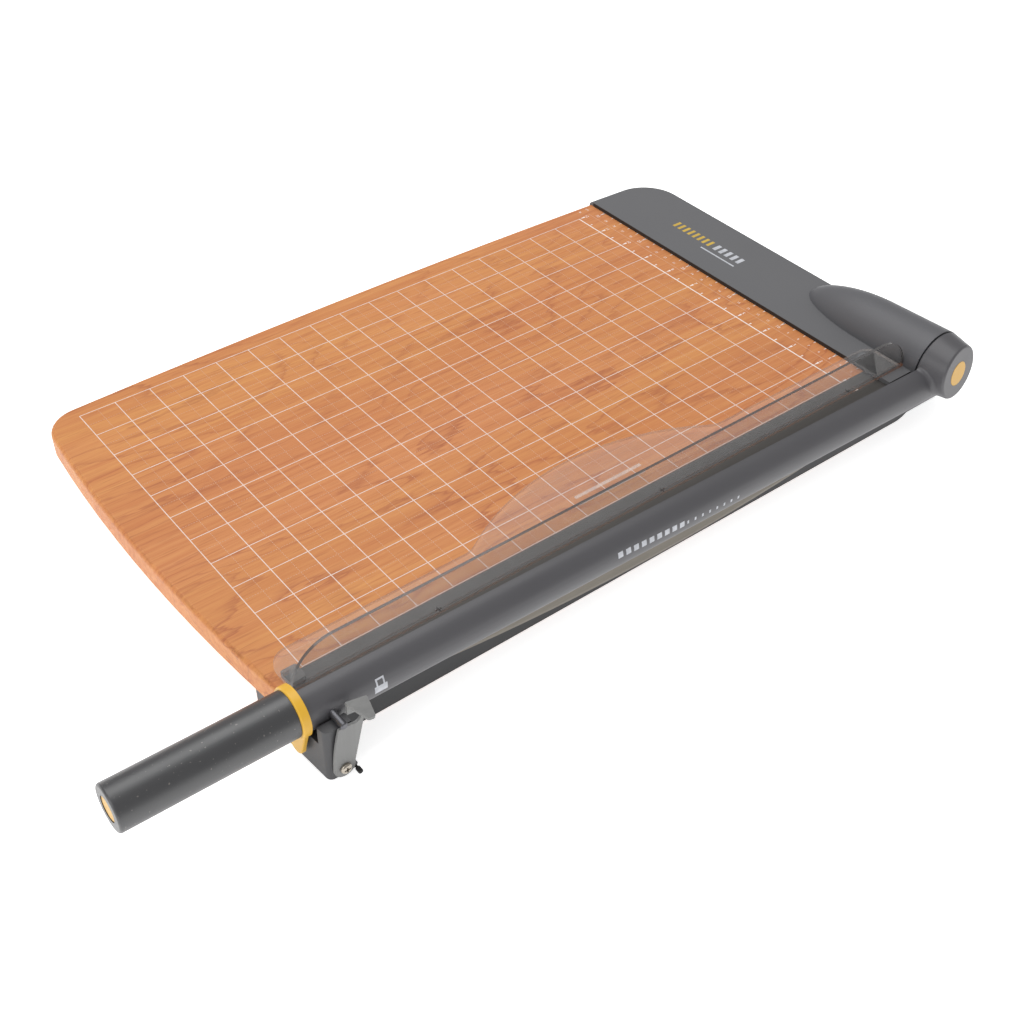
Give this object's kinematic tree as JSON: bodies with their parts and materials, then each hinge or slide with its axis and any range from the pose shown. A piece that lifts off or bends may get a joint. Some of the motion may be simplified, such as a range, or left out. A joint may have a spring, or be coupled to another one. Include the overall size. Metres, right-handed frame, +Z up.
{
  "type": "guillotine paper cutter",
  "caption": "Desktop guillotine paper cutter: wooden board with an inch grid, a long swinging blade arm with a round handle, a clear finger guard and a swivelling safety latch.",
  "frame": {"origin": "middle of the footprint on the table, at the underside of the feet", "axes": "+X along the cutting edge towards the pivot, +Y from the blade towards the far edge of the board, +Z up"},
  "size_m": [0.6492, 0.3622, 0.069],
  "materials": {
    "board_wood": "matte lacquer",
    "knife_steel": "ground",
    "blade_steel": "ground, coated",
    "plain_steel": "plated",
    "latch_steel": "satin",
    "bracket_steel": "satin",
    "rail_black": "satin",
    "arm_grey": "satin",
    "cap_grey": "fine texture",
    "housing_grey": "satin",
    "block_black": "satin",
    "grip_black": "fine texture",
    "bush_plastic": "natural",
    "trim_yellow": "satin",
    "disc_yellow": "satin",
    "guard_clear": "clear plastic",
    "tape_frosted": "frosted",
    "pad_rubber": "matte"
  },
  "bodies": {
    "base": {"board": "board_wood", "bed_knife": "knife_steel", "bed_knife_screws": "plain_steel", "rail": "rail_black", "rail_screws": "plain_steel", "end_cap": "cap_grey", "cap_screws": "plain_steel", "pivot_leg": "cap_grey", "leg_screws": "plain_steel", "pivot_housing": "housing_grey", "housing_screw": "plain_steel", "pivot_bracket": "bracket_steel", "bracket_screws": "plain_steel", "pivot_shaft": "plain_steel", "spring_washers": "plain_steel", "lock_nut": "plain_steel", "thrust_washer": "bush_plastic", "return_spring": "plain_steel", "latch_screw": "plain_steel", "latch_washer": "plain_steel", "latch_spring": "plain_steel", "latch_stop": "pad_rubber", "end_block": "block_black", "block_screws": "plain_steel", "guard": "guard_clear", "guard_spacer": "guard_clear", "guard_tape": "tape_frosted", "front_pads": "pad_rubber", "rear_feet": "pad_rubber", "foot_screws": "plain_steel"},
    "arm": {"arm": "arm_grey", "pivot_bush": "bush_plastic", "hub_disc": "disc_yellow", "blade": "blade_steel", "blade_screws": "plain_steel", "lock_pin": "plain_steel", "yellow_ring": "trim_yellow", "handle_grip": "grip_black", "handle_rod": "plain_steel", "handle_plug": "trim_yellow"},
    "latch": {"latch": "latch_steel"}
  },
  "joints": [
    {"name": "arm_swing", "type": "hinge", "parent": "base", "child": "arm", "pos_m": [0.30212, -0.14811, 0.042], "axis": [0, 1, 0], "range_deg": [0, 70]},
    {"name": "latch_swivel", "type": "hinge", "parent": "base", "child": "latch", "pos_m": [-0.20569, -0.16461, 0.009], "axis": [0, 1, 0], "range_deg": [-12, 8], "stiffness_Nm_per_rad": 0.02}
  ]
}
